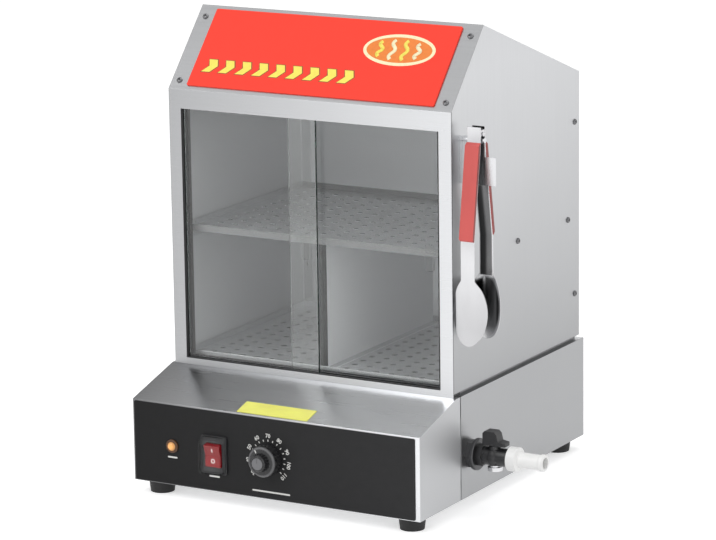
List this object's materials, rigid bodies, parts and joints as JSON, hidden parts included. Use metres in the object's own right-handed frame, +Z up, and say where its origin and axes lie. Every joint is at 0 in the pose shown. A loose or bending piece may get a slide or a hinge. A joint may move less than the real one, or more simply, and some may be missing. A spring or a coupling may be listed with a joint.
{
  "type": "hot dog steamer",
  "caption": "Countertop hot dog steamer: stainless display cabinet with sliding glass doors and a sloped sign, over a water tank, with controls in front, a side drain and tongs.",
  "frame": {"origin": "centre of the base's footprint, on the surface that the four feet stand on", "axes": "+X to the object's right seen from the front, towards the drain; +Y towards the rear; +Z up"},
  "size_m": [0.473, 0.4489, 0.55],
  "materials": {
    "stainless": "brushed",
    "black_panel": "satin",
    "sign_red": "gloss",
    "notice_yellow": "satin film",
    "door_glass": "clear",
    "clear_plastic": "clear",
    "black_rubber": "matt",
    "black_plastic": "moulded",
    "knob_black": "moulded",
    "knob_face": "spun",
    "amber_lens": "clear",
    "rocker_red": "gloss",
    "chrome_metal": "polished",
    "white_plastic": "moulded",
    "grip_red": "moulded",
    "brass_metal": "machined",
    "element_sheath": "heat dulled"
  },
  "bodies": {
    "steamer": {"base_pan": "stainless", "bun_tray": "stainless", "cabinet_rear_panel": "stainless", "cabinet_seal": "black_rubber", "cabinet_side_left": "stainless", "cabinet_side_right": "stainless", "control_box": "stainless", "control_panel": "black_panel", "cord_gland": "black_plastic", "divider_plate": "stainless", "door_track_bottom": "black_plastic", "door_track_top": "black_plastic", "drain_collar": "chrome_metal", "drain_pipe": "brass_metal", "drain_spout": "white_plastic", "element_gaskets": "black_rubber", "feet": "black_rubber", "foot_screws": "chrome_metal", "front_frame": "stainless", "heating_element": "element_sheath", "hex_nuts": "chrome_metal", "jamb_seals": "black_rubber", "lamp_bezel": "black_plastic", "lamp_lens": "amber_lens", "lower_rear_panel": "stainless", "lower_side_left": "stainless", "lower_side_right": "stainless", "lower_tray": "stainless", "notice_plate": "notice_yellow", "pan_screws": "chrome_metal", "roof_panel": "stainless", "shelf_rails": "stainless", "sign_panel": "stainless", "sign_plate": "sign_red", "switch_cover": "clear_plastic", "switch_frame": "black_plastic", "terminal_block": "black_plastic", "thermal_cutout": "stainless", "thermostat_body": "black_plastic", "thermostat_bulb": "element_sheath", "tong_bracket": "stainless", "valve_body": "black_plastic", "valve_cap": "chrome_metal", "water_tank": "stainless"},
    "left_door": {"glass_door_left": "door_glass", "door_pull_left": "clear_plastic"},
    "right_door": {"glass_door_right": "door_glass", "door_pull_right": "clear_plastic"},
    "thermostat_knob": {"knob": "knob_black", "knob_insert": "knob_face", "thermostat_shaft": "chrome_metal"},
    "rocker": {"switch_rocker": "rocker_red"},
    "drain_lever": {"valve_lever": "black_plastic", "valve_ball": "chrome_metal"},
    "tongs": {"tong_arm_front": "chrome_metal", "tong_grip_front": "grip_red", "tong_pin": "chrome_metal", "tong_spring": "chrome_metal"},
    "tong_jaw": {"tong_arm_rear": "chrome_metal", "tong_grip_rear": "grip_red"}
  },
  "joints": [
    {"name": "left_door_slide", "type": "slide", "parent": "steamer", "child": "left_door", "axis": [1, 0, 0], "range_m": [0, 0.156]},
    {"name": "right_door_slide", "type": "slide", "parent": "steamer", "child": "right_door", "axis": [1, 0, 0], "range_m": [-0.134, 0]},
    {"name": "thermostat_turn", "type": "hinge", "parent": "steamer", "child": "thermostat_knob", "pos_m": [-0.0065, -0.205, 0.064], "axis": [0, 1, 0], "range_deg": [0, 300]},
    {"name": "switch_tip", "type": "hinge", "parent": "steamer", "child": "rocker", "pos_m": [-0.078, -0.2035, 0.06], "axis": [-1, 0, 0], "range_deg": [0, 16]},
    {"name": "drain_lever_turn", "type": "hinge", "parent": "steamer", "child": "drain_lever", "pos_m": [0.2205, -0.085, 0.066], "axis": [0, 0, 1], "range_deg": [-90, 0]},
    {"name": "tongs_take_off", "type": "slide", "parent": "steamer", "child": "tongs", "axis": [1, 0, 0], "range_m": [0, 0.045]},
    {"name": "tongs_squeeze", "type": "hinge", "parent": "tongs", "child": "tong_jaw", "pos_m": [0.206, -0.098, 0.438], "axis": [1, 0, 0], "range_deg": [-7.5, 0], "stiffness_Nm_per_rad": 0.08, "springref_deg": 17.19}
  ]
}
